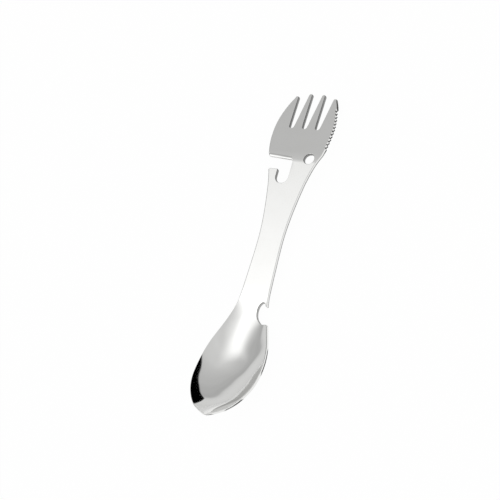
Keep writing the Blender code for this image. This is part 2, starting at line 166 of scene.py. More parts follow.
# Spacing of the visible mesh
CURVE_STEP = 0.0004
TIGHT_STEP = 0.00016
STRAIGHT_STEP = 0.0015
BOWL_GRID = 0.0008
HANDLE_GRID = 0.0022
EDGE_SEGMENTS = 6
TOOTH_SEGMENTS = 10
SMOOTHING = 0.0013
LATTICE_STEP = 0.0001
LATTICE_MARGIN = 0.012
BEVEL_TOP_POINTS = 26
BEVEL_END_POINTS = 7
LINE_CLEAR = 0.0004
PLACES_AT_ONCE = 500
# Limits at the outline's corners: how far steps into the metal are lengthened there, and the cosine of the turn
# from which a corner stays sharp
LEAST_SPREAD = 0.7
SHARP_TURN = 0.8

# Dull walls: rough, and dark partly from painted shade for the shadowed floor that they reflect. From front
# to back the rounded edge has twice EDGE_SEGMENTS bands. Cut walls are dull from the second band on, other
# walls of the handle and head from TORN_AND_SHADED_FROM on, a torn lower wall whose dark also stands in for
# reflected shadow, and a painted dark streak on the bowl's rim, for dark that the rim reflects, reaches
# PAINTED_STREAK_BANDS up from the back. PAINTED_STREAK_ENDS is how quickly it gets there from its ends.
TORN_AND_SHADED_FROM = 6
PAINTED_STREAK_BANDS = 6
PAINTED_STREAK_ENDS = 8
# How near the cut stretches start and end to the features that they belong to
NEAR = 0.0002
POST_CLEAR = 0.0004
BEVEL_CLEAR = 0.0003
BITE_CLEAR = 0.0005
BITE_REACH_SHARE = 1.3
TINE_SIDE_CLEAR = 0.0016
SCALLOP_FACING = -0.15

# Half width from the bowl's tip to the neck: share of LENGTH, share of half of BOWL_WIDTH
BODY_SHARES = [
    (0.000, 0.000), (0.005, 0.165), (0.013, 0.323), (0.023, 0.474), (0.039, 0.633), (0.058, 0.766),
    (0.078, 0.869), (0.099, 0.943), (0.121, 0.986), (0.145, 1.000), (0.168, 0.995), (0.191, 0.972),
    (0.214, 0.931), (0.235, 0.875), (0.255, 0.803), (0.275, 0.724), (0.294, 0.649), (0.312, 0.586),
    (0.331, 0.524), (0.353, 0.477), (0.377, 0.447), (0.412, 0.427), (0.459, 0.407), (0.506, 0.390),
    (0.541, 0.384), (0.576, 0.395), (0.612, 0.424), (0.647, 0.467), (0.682, 0.520), (0.709, 0.566),
    (0.744, 0.652), (0.765, 0.715), (0.785, 0.792), (0.805, 0.878),
]
# Outlines of the head: share of TINE_LENGTH past the roots of the tines, share of half of HEAD_WIDTH
HEAD_SHARES = [
    (-0.84, 0.826), (-0.72, 0.868), (-0.60, 0.912), (-0.46, 0.953), (-0.31, 0.982), (-0.14, 0.998),
    (0.00, 1.000), (0.14, 0.989), (0.30, 0.958), (0.47, 0.907), (0.65, 0.831), (0.75, 0.779), (0.91, 0.681),
]
SERRATED_SHARES = [
    (-0.507, 0.963), (-0.36, 0.975), (-0.20, 0.984), (-0.04, 0.985), (0.10, 0.975), (0.26, 0.944),
    (0.42, 0.896), (0.53, 0.855), (0.615, 0.816),
]
# Painted dark streaks along the bowl's rim, for dark that the rim wall reflects: from and to in metres from the
# tip, below zero on the plain side
RIM_PAINTED_STREAKS = [(-0.0024, 0.0014), (0.0032, 0.0120), (0.0240, 0.0400)]
# The bottle opener's bite from its lip round to the hook: share of BITE_MOUTH, share of BITE_DEPTH
# under the plain side
BITE_SHARES = [
    (0.00, 0.482), (0.03, 0.627), (0.15, 0.809), (0.28, 0.936), (0.43, 1.000), (0.60, 1.000), (0.79, 0.945),
    (0.97, 0.836), (1.12, 0.665), (1.20, 0.502), (1.20, 0.345), (1.13, 0.240), (1.04, 0.187),
]
# Rim of the bowl in side view: share of LENGTH from the tip, share of its rise over the handle's line
RIM_RISE_SHARES = [
    (0.000, 1.000), (0.041, 0.775), (0.082, 0.605), (0.129, 0.432), (0.176, 0.282), (0.224, 0.168),
    (0.276, 0.077), (0.329, 0.018), (0.390, 0.000),
]
# Floor of the bowl in side view: share of LENGTH, share of the way from the lying sheet up to the rim
FLOOR_SHARES = [
    (0.000, 1.000), (0.018, 0.900), (0.047, 0.727), (0.082, 0.553), (0.118, 0.346), (0.153, 0.127),
    (0.179, 0.030), (0.202, 0.000), (0.226, 0.014), (0.256, 0.058), (0.294, 0.158), (0.335, 0.345),
    (0.365, 0.770), (0.390, 1.000),
]

# How much flatter, or fuller below zero, the bowl's side is under the bite: share of LENGTH, share of the dip
BITE_SIDE_SHARES = [
    (0.185, 0.0), (0.215, -0.7), (0.235, -0.55), (0.257, 0.0), (0.295, 1.0), (0.325, 1.0), (0.370, 0.0),
]

HALF_BOWL = BOWL_WIDTH / 2
HALF_HEAD = HEAD_WIDTH / 2
TINE_PITCH = HEAD_WIDTH * TINE_PITCH_SHARE
SLOT_MOUTH = TINE_PITCH * SLOT_MOUTH_SHARE
TINE_ROOT = LENGTH - TINE_LENGTH
NECK_BEND = TINE_ROOT - NECK_BEND_FROM_TINE_ROOT
CUTTING_EDGE = TINE_ROOT - CUTTING_EDGE_FROM_TINE_ROOT
POST_TOP = CUTTING_EDGE - OPENER_MOUTH
HANDLE_SLOPE = (NECK_HEIGHT - HANDLE_END_HEIGHT) / (NECK_BEND - HANDLE_END_FROM_TIP)
HEAD_SLOPE = (SHEET - NECK_HEIGHT) / (LENGTH - NECK_BEND)
FLAT_HANDLE_FROM = LENGTH * FLOOR_SHARES[-1][0]
BEVEL_INNER_END = OPENER_WALL_ACROSS - OPENER_CORNER_RADIUS
BEVEL_DROP = SHEET - BEVEL_EDGE_THICKNESS


def table_points(table, origin, unit_along, unit_across):
    return [(across * unit_across, origin + along * unit_along) for along, across in table]


def smooth_curve(points, step, start_direction=None):
    """A smooth curve through the points, as points about one step apart."""
    knots = [Vector((x, y, 0)) for x, y in points]
    spans = [b - a for a, b in zip(knots, knots[1:])]
    directions = [span.normalized() for span in spans]
    tangents = [start_direction or directions[0]]
    for (before, after), (a, b) in zip(zip(spans, spans[1:]), zip(directions, directions[1:])):
        tangents.append((a * after.length + b * before.length) / (before.length + after.length))
    tangents.append(directions[-1])
    found = []
    for index, span in enumerate(spans):
        reach = span.length / 3
        count = max(2, math.ceil(span.length / step) + 1)
        first, last = knots[index], knots[index + 1]
        handles = first + tangents[index] * reach, last - tangents[index + 1] * reach
        found += interpolate_bezier(first, *handles, last, count)[:-1]
    found.append(knots[-1])
    return [(point.x, point.y) for point in found]


def stretch(curve, start, end, step):
    """The part of a curve between two values of along, as points about one step apart."""
    line = np.array(curve)
    travelled = np.concatenate([[0], np.cumsum(np.hypot(*np.diff(line, axis=0).T))])
    low, high = np.interp([start, end], line[:, 1], travelled)
    count = max(2, math.ceil((high - low) / step) + 1)
    at = np.linspace(low, high, count)
    return list(zip(np.interp(at, travelled, line[:, 0]), np.interp(at, travelled, line[:, 1])))


def arc(x, y, radius_x, radius_y, start, end, step):
    """Points of an arc, or of a stretched one, from one angle in degrees to another."""
    turn = math.radians(end - start)
    count = max(3, math.ceil(abs(turn) * max(radius_x, radius_y) / step) + 1)
    angles = [math.radians(start) + turn * k / (count - 1) for k in range(count)]
    return [(x + radius_x * math.cos(angle), y + radius_y * math.sin(angle)) for angle in angles]


def corner(x, y, radius, start, end):
    return arc(x, y, radius, radius, start, end, TIGHT_STEP)


def mirrored(points):
    return [(-x, y) for x, y in reversed(points)]


FINE = 0.000125
BODY = smooth_curve(table_points(BODY_SHARES, 0, LENGTH, HALF_BOWL), FINE, Vector((1, 0, 0)))
HEAD = smooth_curve(table_points(HEAD_SHARES, TINE_ROOT, TINE_LENGTH, HALF_HEAD), FINE)
SERRATED = smooth_curve(table_points(SERRATED_SHARES, TINE_ROOT, TINE_LENGTH, HALF_HEAD), FINE)
BODY_HALF_WIDTH, BODY_ALONG = np.array(BODY).T
HEAD_HALF_WIDTH, HEAD_ALONG = np.array(HEAD).T


def half_width(along):
    return np.interp(along, BODY_ALONG, BODY_HALF_WIDTH)


def head_half_width(along):
    return np.interp(along, HEAD_ALONG, HEAD_HALF_WIDTH)


def slot_half_width(past_root):
    """The slots between the tines widen evenly from their round roots to their mouths."""
    return SLOT_ROOT_RADIUS + (SLOT_MOUTH / 2 - SLOT_ROOT_RADIUS) * past_root / TINE_LENGTH


def bottle_opener():
    """Lip, bite and hook, from the bowl's shoulder up to the handle's side."""
    lip_across = half_width(BITE_FROM_TIP)
    bite = []
    for up, depth in BITE_SHARES:
        along = BITE_FROM_TIP + up * BITE_MOUTH
        bite.append((half_width(along) - depth * BITE_DEPTH, along))
    hook_along = bite[-1][1]
    hook_across = half_width(hook_along) - HOOK_RADIUS
    return (
        corner(lip_across - LIP_RADIUS, BITE_FROM_TIP - LIP_RADIUS, LIP_RADIUS, 10, 90)
        + smooth_curve(bite, CURVE_STEP, Vector((-1, 0, 0)))
        + corner(hook_across, hook_along, HOOK_RADIUS, 190, 360)
    )


def serration():
    """Round scallops cut side by side along the serrated curve, meeting in pointed teeth."""
    base = stretch(SERRATED, SERRATED[0][1], SERRATED[-1][1], TIGHT_STEP)
    line = np.array(base)
    travelled = np.concatenate([[0], np.cumsum(np.hypot(*np.diff(line, axis=0).T))])
    found = []
    for index in range(SCALLOPS * TOOTH_SEGMENTS + 1):
        at = travelled[-1] * index / (SCALLOPS * TOOTH_SEGMENTS)
        x, y = np.interp(at, travelled, line[:, 0]), np.interp(at, travelled, line[:, 1])
        depth = SCALLOP_DEPTH * abs(math.sin(math.pi * index / TOOTH_SEGMENTS))
        found.append((x - depth, y))
    return found


def tines():
    """Tips and slots of the four tines, from the serrated side across to the plain one."""
    outer_tip = LENGTH - OUTER_TINE_DROP - OUTER_TINE_TIP_ROUND
    inner_tip = LENGTH - TINE_TIP_ROUND
    outer_edge = head_half_width(outer_tip)
    outer_inner = TINE_PITCH + slot_half_width(outer_tip - TINE_ROOT)
    outer_centre = (outer_edge + outer_inner) / 2
    outer_round = (outer_edge - outer_inner) / 2
    inner_round = TINE_PITCH / 2 - slot_half_width(inner_tip - TINE_ROOT)
    tips = [
        (outer_centre, outer_tip, outer_round, OUTER_TINE_TIP_ROUND),
        (TINE_PITCH / 2, inner_tip, inner_round, TINE_TIP_ROUND),
        (-TINE_PITCH / 2, inner_tip, inner_round, TINE_TIP_ROUND),
        (-outer_centre, outer_tip, outer_round, OUTER_TINE_TIP_ROUND),
    ]
    root = TINE_ROOT + SLOT_ROOT_RADIUS
    found = arc(*tips[0], 0, 180, TIGHT_STEP)
    for slot, (before, after) in zip((TINE_PITCH, 0, -TINE_PITCH), zip(tips, tips[1:])):
        for side, top in ((1, before[1]), (-1, after[1])):
            wall = []
            steps = math.ceil((top - root) / STRAIGHT_STEP) + 1
            for k in range(1, steps):
                along = root + (top - root) * k / steps
                wall.append((slot + side * slot_half_width(along - TINE_ROOT), along))
            if side == 1:
                found += wall[::-1] + corner(slot, root, SLOT_ROOT_RADIUS, 0, -180)
            else:
                found += wall
        found += arc(*after, 0, 180, TIGHT_STEP)
    return found


def bevel_edge(across):
    """Along of the can opener's cutting edge, which slants a little up towards the head's side."""
    slant = CUTTING_EDGE_SLANT / (head_half_width(CUTTING_EDGE) + BEVEL_INNER_END)
    return CUTTING_EDGE + slant * (BEVEL_INNER_END - across)


def can_opener():
    """Cutting edge, mouth, slot and post, from the head's plain side down to the handle's."""
    outer_end = CUTTING_EDGE + CUTTING_EDGE_SLANT
    radius = OPENER_CORNER_RADIUS
    slot_radius = OPENER_SLOT_WIDTH / 2
    slot_across = OPENER_WALL_ACROSS - slot_radius
    slot_bottom = POST_TOP - OPENER_SLOT_DEPTH + slot_radius
    post_inner = OPENER_WALL_ACROSS - OPENER_SLOT_WIDTH
    post_outer = -half_width(POST_TOP - radius)
    first = corner(radius - head_half_width(outer_end), outer_end + radius, radius, 195, 270)
    edge_steps = math.ceil((BEVEL_INNER_END - BEVEL_END_WALL - first[-1][0]) / CURVE_STEP)
    edge_across = np.linspace(first[-1][0], BEVEL_INNER_END - BEVEL_END_WALL, edge_steps)[1:]
    edge = [(across, bevel_edge(across)) for across in edge_across]
    return (
        first
        + edge
        + corner(BEVEL_INNER_END, CUTTING_EDGE - radius, radius, 90, 0)
        + arc(slot_across, slot_bottom, slot_radius, slot_radius, 0, -180, CURVE_STEP)
        + corner(post_inner - radius, POST_TOP - radius, radius, 0, 90)
        + corner(post_outer + radius, POST_TOP - radius, radius, 90, 170)
    )


def outline():
    """The blank's outline, anticlockwise from the tip of the bowl, and the round of each point's edge."""
    bottle = bottle_opener()
    teeth = serration()
    shoulder = bottle[0][1] - TIGHT_STEP
    hook_end = bottle[-1][1]
    teeth_start, teeth_end = SERRATED[0][1], SERRATED[-1][1]
    tip_start = LENGTH - OUTER_TINE_DROP - OUTER_TINE_TIP_ROUND
    opener = can_opener()
    bowl = stretch(BODY, 0, shoulder, CURVE_STEP)
    bowl_left = stretch(BODY, 0, hook_end, CURVE_STEP)
    handle = stretch(BODY, hook_end, POST_TOP, STRAIGHT_STEP)
    neck = stretch(BODY, POST_TOP, teeth_start, CURVE_STEP)
    tip = stretch(HEAD, teeth_end, tip_start, CURVE_STEP)
    handle_left = stretch(BODY, hook_end, opener[-1][1] - TIGHT_STEP, STRAIGHT_STEP)
    head_left = stretch(HEAD, opener[0][1] + TIGHT_STEP, tip_start, CURVE_STEP)
    pieces = [
        (bowl, EDGE_ROUND), (bottle, EDGE_ROUND), (handle[1:], EDGE_ROUND), (neck[1:-1], EDGE_ROUND),
        (teeth, TOOTH_ROUND), (tip[:-1], EDGE_ROUND), (tines(), EDGE_ROUND),
        (mirrored(head_left)[1:], PLAIN_SIDE_ROUND), (opener, EDGE_ROUND),
        (mirrored(handle_left), PLAIN_SIDE_ROUND), (mirrored(bowl_left)[1:-1], EDGE_ROUND),
    ]
    points = np.array([point for piece, _ in pieces for point in piece])
    rounds = np.array([edge for piece, edge in pieces for _ in piece])
    apart = np.linalg.norm(np.roll(points, -1, axis=0) - points, axis=1) > TIGHT_STEP / 8
    return points[apart], rounds[apart]


def hole_outline():
    """The lanyard hole, clockwise, so that the metal stays on the left."""
    radius = HOLE_DIAMETER / 2
    along = TINE_ROOT - HOLE_FROM_TINE_ROOT
    centre = half_width(along) - HOLE_WALL - radius, along
    points = np.array(arc(*centre, radius, radius, 360, 0, CURVE_STEP))[:-1]
    return points, np.full(len(points), EDGE_ROUND)


def cut_walls(points):
    """Which stretches of the outline have dull cut walls, dark partly with painted shade: slots, openers,
    scallops and the plain side.
    """
    before = np.roll(points, 1, axis=0)
    way = points - before
    way /= np.linalg.norm(way, axis=1, keepdims=True)
    across, along = (points + before).T / 2
    slots = np.abs(across) < head_half_width(along) - TINE_SIDE_CLEAR
    slots &= along > TINE_ROOT - SLOT_ROOT_RADIUS
    opener = (along > POST_TOP - OPENER_SLOT_DEPTH - NEAR) & (along < POST_TOP)
    opener &= across > OPENER_WALL_ACROSS - OPENER_SLOT_WIDTH - POST_CLEAR
    opener &= across < OPENER_WALL_ACROSS + NEAR
    scallops = (across > 0) & (along > SERRATED[0][1]) & (-way[:, 0] > SCALLOP_FACING)
    bite = (along > BITE_FROM_TIP - NEAR) & (along < BITE_FROM_TIP + BITE_REACH_SHARE * BITE_MOUTH)
    bite &= (across > 0) & (across < half_width(along) - BITE_CLEAR)
    plain = (across < 0) & (along > HANDLE_END_FROM_TIP)
    plain &= (along < POST_TOP + POST_CLEAR) | (along > CUTTING_EDGE + CUTTING_EDGE_SLANT + BEVEL_CLEAR)
    return slots | opener | scallops | bite | plain


def first_dull_shaded_band(points):
    """The first dull band of the wall at each point of the outline, counted from the front; dull bands carry
    painted shade.
    """
    across, along = points.T
    signed = np.where(across < 0, -along, along)
    found = np.where(along < BITE_FROM_TIP - LIP_RADIUS, 2 * EDGE_SEGMENTS, TORN_AND_SHADED_FROM)
    # Painted dark streaks on the rim: these bands take the dull wall's dark grey, standing in for reflected
    # dark
    for low, high in RIM_PAINTED_STREAKS:
        share = np.clip((signed - low) / (high - low), 0, 1)
        reach = np.clip(PAINTED_STREAK_ENDS * share * (1 - share), 0, 1)
        found = np.minimum(found, 2 * EDGE_SEGMENTS - np.round(PAINTED_STREAK_BANDS * reach))
    return np.where(cut_walls(points), 1, found)


def inward(points):
    """Unit steps into the metal at each point, lengthened at corners so that both sides move alike."""
    after = np.roll(points, -1, axis=0) - points
    after /= np.linalg.norm(after, axis=1, keepdims=True)
    before = np.roll(after, 1, axis=0)
    middle = before + after
    middle /= np.linalg.norm(middle, axis=1, keepdims=True)
    normal = np.stack([-middle[:, 1], middle[:, 0]], axis=1)
    spread = np.clip((middle * after).sum(axis=1), LEAST_SPREAD, 1)
    return normal / spread[:, None]


# The bowl's surface: along each line across it the height is floor + curve * across squared, a little fuller
# between the middle and the rim. Both are kept on a fine lattice of along, smoothed so that their bends
# change gently.
LATTICE = np.arange(-LATTICE_MARGIN, FLAT_HANDLE_FROM + LATTICE_MARGIN, LATTICE_STEP)


def smooth_values(table, places):
    """The values of a smooth curve through a table's rows, run straight on past both its ends."""
    knots, values = (np.array(column) for column in zip(*table))
    gaps = np.diff(knots)
    slopes = np.diff(values) / gaps
    inner = (slopes[:-1] * gaps[1:] + slopes[1:] * gaps[:-1]) / (gaps[:-1] + gaps[1:])
    tangents = np.concatenate([slopes[:1], inner, [0]])
    span = np.clip(np.searchsorted(knots, places, side="right") - 1, 0, len(gaps) - 1)
    t = np.clip((places - knots[span]) / gaps[span], 0, 1)
    rise = gaps[span] * (tangents[span] * (t - 1) ** 2 + tangents[span + 1] * t * (t - 1)) * t
    found = values[span] + (values[span + 1] - values[span]) * t * t * (3 - 2 * t) + rise
    return found + np.minimum(places - knots[0], 0) * tangents[0]


def smoothed(values):
    reach = int(4 * SMOOTHING / LATTICE_STEP)
    weights = np.exp(-0.5 * (np.arange(-reach, reach + 1) * LATTICE_STEP / SMOOTHING) ** 2)
    padded = np.concatenate([
        2 * values[0] - values[reach:0:-1], values, 2 * values[-1] - values[-2:-reach - 2:-1],
    ])
    return np.convolve(padded, weights / weights.sum(), "valid")


def handle_line(along):
    return HANDLE_END_HEIGHT + HANDLE_SLOPE * (along - HANDLE_END_FROM_TIP)


def bowl_lattice():
    tip_rise = RIM_TIP_HEIGHT - handle_line(0)
    line = handle_line(LATTICE)
    rim = line + tip_rise * smooth_values(RIM_RISE_SHARES, LATTICE / LENGTH)
    floor = SHEET + (rim - SHEET) * smooth_values(FLOOR_SHARES, LATTICE / LENGTH)
    start = np.searchsorted(LATTICE, TIP_REACH)
    curve = (rim - floor) / np.maximum(half_width(LATTICE), EDGE_ROUND) ** 2
    bend = (curve[start + TIP_STEPS] - curve[start]) / (TIP_STEPS * LATTICE_STEP)
    curve[:start] = curve[start] + (LATTICE[:start] - LATTICE[start]) * bend
    squares = half_width(LATTICE) ** 2
    near_tip = LATTICE_STEP * 5
    squares[LATTICE < 0] = LATTICE[LATTICE < 0] * half_width(near_tip) ** 2 / near_tip
    dip = BITE_SIDE_DIP * np.interp(LATTICE / LENGTH, *zip(*BITE_SIDE_SHARES))
    return np.stack([smoothed(floor - line), smoothed(curve), smoothed(squares), smoothed(dip)])


SURFACE = bowl_lattice()
SURFACE_SLOPES = np.gradient(SURFACE, LATTICE_STEP, axis=1)


def press_surface(across, along):
    """Height of the hollow side above the table after pressing, and its slopes across and along."""
    floor, curve, square, dip = (np.interp(along, LATTICE, values) for values in SURFACE)
    floor_slope, curve_slope, square_slope, dip_slope = (
        np.interp(along, LATTICE, values) for values in SURFACE_SLOPES
    )
    fullness = BOWL_FULLNESS_SHARE / HALF_BOWL**2
    fuller = 1 + fullness * (square - across**2)
    height = handle_line(along) + floor + curve * across**2 * fuller
    slope_across = 2 * curve * across * (fuller - fullness * across**2)
    curve_along = curve_slope * fuller + curve * fullness * square_slope
    slope_along = HANDLE_SLOPE + floor_slope + across**2 * curve_along
    off = np.clip(across / BITE_SIDE_MIDDLE - 1, -1, 1) * math.pi
    height = height - dip * (1 + np.cos(off)) / 2
    slope_across = slope_across + dip * np.sin(off) * math.pi / 2 / BITE_SIDE_MIDDLE
    slope_along = slope_along - dip_slope * (1 + np.cos(off)) / 2
    past = np.clip(along - NECK_BEND + NECK_BEND_LENGTH / 2, 0, NECK_BEND_LENGTH)
    beyond = np.maximum(along - NECK_BEND - NECK_BEND_LENGTH / 2, 0)
    turn = HEAD_SLOPE - HANDLE_SLOPE
    height = height + turn * (past**2 / (2 * NECK_BEND_LENGTH) + beyond)
    slope_along = slope_along + turn * past / NECK_BEND_LENGTH
    return height, slope_across, slope_along


def bevel_depth(across, along):
    """How far the can opener's bevel lies under the head's front."""
    inset = np.clip((BEVEL_INNER_END - across) / BEVEL_END_WALL, 0, 1)
    past = along - bevel_edge(across)
    share = np.clip(1 - past / BEVEL_WIDTH, 0, 1) * (past > -EDGE_ROUND)
    return BEVEL_DROP * share * inset


def pressed(rows, beveled=True):
    """Where rows of (across, along, depth under the hollow side) end up.

    The sheet's thickness leans from upright a part of the way towards square with the pressed surface.
    """
    across, along, depth = np.asarray(rows, float).T
    height, slope_across, slope_along = press_surface(across, along)
    if beveled:
        cut = bevel_depth(across, along)
        depth = depth + cut * (1 - depth / SHEET)
    square = np.stack([-slope_across, -slope_along, np.ones_like(height)], axis=1)
    square /= np.linalg.norm(square, axis=1, keepdims=True)
    lean = np.array([0, 0, 1]) * (1 - EDGE_LEAN_SHARE) + square * EDGE_LEAN_SHARE
    lean /= np.linalg.norm(lean, axis=1, keepdims=True)
    return np.stack([across, along - LENGTH / 2, height], axis=1) - lean * depth[:, None]


def unit(rows):
    return rows / np.maximum(np.linalg.norm(rows, axis=-1, keepdims=True), 1e-12)


def face_normals(rows, side):
    """Exact normals of the front or back face, where rows lie outside the bevel."""
    _, slope_across, slope_along = press_surface(rows[:, 0], rows[:, 1])
    normal = unit(np.stack([-slope_across, -slope_along, np.ones_like(slope_along)], axis=1))
    if side == 0:
        return normal
    step = 2e-5
    offsets = [(step, 0, 0), (0, step, 0)]
    across, along = (pressed(rows + offset, False) - pressed(rows - offset, False) for offset in offsets)
    return unit(np.cross(along, across))


def section_rows(points, steps, rounds, turn, side):
    """One loop of the rounded edge: turn runs from 0 at its middle to 90 degrees at a face."""
    inset = points + steps * (rounds * (1 - math.cos(turn)))[:, None]
    depth = np.full(len(points), SHEET / 2 * (1 - math.sin(turn)))
    return np.column_stack([inset, depth if side == 0 else SHEET - depth])


def edge_sections(points, rounds):
    """Rows of each loop over the rounded edge from front to back, with the rows just before and after."""
    steps = inward(points)
    turns = [(math.pi / 2 * k / EDGE_SEGMENTS, 0) for k in range(EDGE_SEGMENTS, -1, -1)]
    turns += [(math.pi / 2 * k / EDGE_SEGMENTS, 1) for k in range(1, EDGE_SEGMENTS + 1)]
    nudge = 0.01
    found = []
    for turn, side in turns:
        way = nudge if side else -nudge
        found.append([section_rows(points, steps, rounds, turn + shift, side) for shift in (0, -way, way)])
    return found


def inside(loop, places):
    """Which places lie inside a closed loop."""
    ends = np.roll(loop, -1, axis=0)
    found = []
    for some in np.array_split(places, max(1, len(places) // PLACES_AT_ONCE)):
        x, y = some[:, :1], some[:, 1:]
        crosses = (loop[:, 1] > y) != (ends[:, 1] > y)
        rise = np.where(ends[:, 1] == loop[:, 1], 1, ends[:, 1] - loop[:, 1])
        at = loop[:, 0] + (y - loop[:, 1]) / rise * (ends[:, 0] - loop[:, 0])
        found.append((crosses & (x < at)).sum(axis=1) % 2 == 1)
    return np.concatenate(found)


def clear_of(loops, places, least):
    """Which places lie further than least from every side of the loops."""
    found = np.ones(len(places), bool)
    for loop in loops:
        side = np.roll(loop, -1, axis=0) - loop
        clear = []
        for some in np.array_split(places, max(1, len(places) // PLACES_AT_ONCE)):
            offset = some[:, None] - loop
            share = np.clip((offset * side).sum(axis=2) / (side**2).sum(axis=1), 0, 1)
            clear.append(np.linalg.norm(offset - share[..., None] * side, axis=2).min(axis=1) > least)
        found &= np.concatenate(clear)
    return found


def grid(low, high, spacing):
    """Staggered rows of places across the blank between two values of along."""
    places = []
    rows = max(2, round((high - low) / spacing) + 1)
    columns = math.ceil(HALF_BOWL / spacing)
    for row in range(rows):
        along = low + (high - low) * row / (rows - 1)
        shift = spacing / 2 * (row % 2)
        places += [(column * spacing + shift, along) for column in range(-columns, columns + 1)]
    return np.array(places)


def hollow_ground(square, places):
    """The bevel's normals, as a grinding wheel leaves it: a little steeper at the top than at the edge."""
    up = (places[..., 1] - bevel_edge(places[..., 0])) / BEVEL_WIDTH
    tilt = np.radians(BEVEL_HOLLOW_DEGREES) * (np.clip(up, 0, 1) - BEVEL_HOLLOW_MIDDLE)
    x, y, z = np.moveaxis(np.broadcast_to(square, places.shape[:-1] + (3,)), -1, 0)
    return np.stack([x, y * np.cos(tilt) - z * np.sin(tilt), z * np.cos(tilt) + y * np.sin(tilt)], axis=-1)


def bevel_lines():
    """Points along the bevel's top line and its two inner ends, which the faces' triangles follow."""
    outer = -head_half_width(CUTTING_EDGE + BEVEL_WIDTH) + EDGE_ROUND * 2
    across = np.linspace(outer, BEVEL_INNER_END - BEVEL_END_WALL, BEVEL_TOP_POINTS)
    top = np.column_stack([across, bevel_edge(across) + BEVEL_WIDTH])
    ends = []
    for end in (BEVEL_INNER_END - BEVEL_END_WALL, BEVEL_INNER_END):
        low, high = bevel_edge(end) + EDGE_ROUND * 1.6, bevel_edge(end) + BEVEL_WIDTH
        along = np.linspace(low, high, BEVEL_END_POINTS)
        ends.append(np.column_stack([np.full(len(along), end), along]))
    return np.concatenate([top[:-1]] + ends)


def face_places(border, hole):
    """Places inside the faces: close in the bowl and at the bend, wide where the sheet stays flat."""
    bend_low, bend_high = NECK_BEND - NECK_BEND_LENGTH / 2, NECK_BEND + NECK_BEND_LENGTH / 2
    zones = [
        (0, FLAT_HANDLE_FROM, BOWL_GRID),
        (FLAT_HANDLE_FROM + HANDLE_GRID / 2, bend_low - HANDLE_GRID / 3, HANDLE_GRID),
        (bend_low, bend_high, NECK_BEND_LENGTH / 8),
        (bend_high + HANDLE_GRID / 2, LENGTH, HANDLE_GRID),
    ]
    lines = bevel_lines()
    found = [lines]
    for low, high, spacing in zones:
        places = grid(low, high, spacing)
        places = places[inside(border, places) & ~inside(hole, places)]
        places = places[clear_of([border, hole], places, spacing * 0.5)]
        found.append(places[np.linalg.norm(places[:, None] - lines, axis=2).min(axis=1) > LINE_CLEAR])
    return np.concatenate(found)


def fill_face(loops, places):
    """Triangles between the border, the hole and the inner places, as indices into all of them."""
    points = np.concatenate(loops + [places])
    edges, start = [], 0
    for loop in loops:
        count = len(loop)
        edges += [(start + k, start + (k + 1) % count) for k in range(count)]
        start += count
    corners = [Vector((x, y)) for x, y in points / SHEET]
    _, _, faces, sources, _, _ = delaunay_2d_cdt(corners, edges, [], 1, 1e-6)
    triangles = np.array([[sources[corner][0] for corner in face] for face in faces])
    centres = points[triangles].mean(axis=1)
    return triangles[inside(loops[0], centres) & ~inside(loops[1], centres)]


def edge_rings(sections):
    """Each loop's pressed vertices, with their normals for the wall before and the wall after each."""
    rings = []
    for rows, before, after in sections:
        placed = pressed(rows)
        forward = unit(np.roll(placed, -1, axis=0) - placed)
        backward = np.roll(forward, 1, axis=0)
        smooth = unit(forward + backward)
        sharp = ((forward * backward).sum(axis=1) < SHARP_TURN)[:, None]
        down = pressed(after) - pressed(before)
        ways = np.where(sharp, backward, smooth), np.where(sharp, forward, smooth)
        rings.append((placed, [unit(np.cross(down, way)) for way in ways]))
    return rings


def edge_band(rings, upper, start):
    """Faces between two neighbouring rings and their corners' normals; start is the first vertex's index."""
    count = len(rings[0][0])
    k = np.arange(count)
    corners = [(upper, k - 1, 1), (upper + 1, k - 1, 1), (upper + 1, k, 0), (upper, k, 0)]
    faces = np.stack([start + ring * count + at % count for ring, at, _ in corners], axis=1)
    normals = np.stack([rings[ring][1][side][at] for ring, at, side in corners], axis=1)
    return faces, normals


def corner_normals(flat, order, side):
    """Normals at the corners of the front or back face's triangles, where the bevel has its own."""
    every = np.column_stack([flat, np.full(len(flat), SHEET * side)])
    found = face_normals(every, side)[order]
    if side == 0:
        cut = bevel_depth(*flat[order].mean(axis=1).T) > 0
        corners = pressed(every)[order[cut]]
        square = unit(np.cross(corners[:, 1] - corners[:, 0], corners[:, 2] - corners[:, 0]))
        found[cut] = hollow_ground(square[:, None], flat[order[cut]])
    return found


def sheet_faces():
    """The pressed sheet's vertices and faces, the normals of the faces' corners and which faces are dull, with
    painted shade.
    """
    vertices, faces, normals, dull = [], [], [], []
    loops, borders = [], ([], [])
    total = 0
    edge, hole = outline(), hole_outline()
    starts = first_dull_shaded_band(edge[0]), np.ones(len(hole[0]))
    for (points, rounds), dull_shaded_from in zip((edge, hole), starts):
        sections = edge_sections(points, rounds)
        rings = edge_rings(sections)
        loops.append(sections[0][0][:, :2])
        vertices += [placed for placed, _ in rings]
        for upper in range(len(rings) - 1):
            band, band_normals = edge_band(rings, upper, total)
            faces += band.tolist()
            normals.append(band_normals.reshape(-1, 3))
            dull.append(upper >= dull_shaded_from)
        last = total + len(points) * (len(rings) - 1)
        borders[0].append(np.arange(total, total + len(points)))
        borders[1].append(np.arange(last, last + len(points)))
        total = last + len(points)
    places = face_places(*loops)
    triangles = fill_face(loops, places)
    flat = np.concatenate(loops + [places])
    for side, order in enumerate((triangles, triangles[:, ::-1])):
        vertices.append(pressed(np.column_stack([places, np.full(len(places), SHEET * side)])))
        own = np.concatenate(borders[side] + [np.arange(total, total + len(places))])
        faces += own[order].tolist()
        normals.append(corner_normals(flat, order, side).reshape(-1, 3))
        dull.append(np.zeros(len(order), bool))
        total += len(places)
    return np.concatenate(vertices), faces, np.concatenate(normals), np.concatenate(dull)


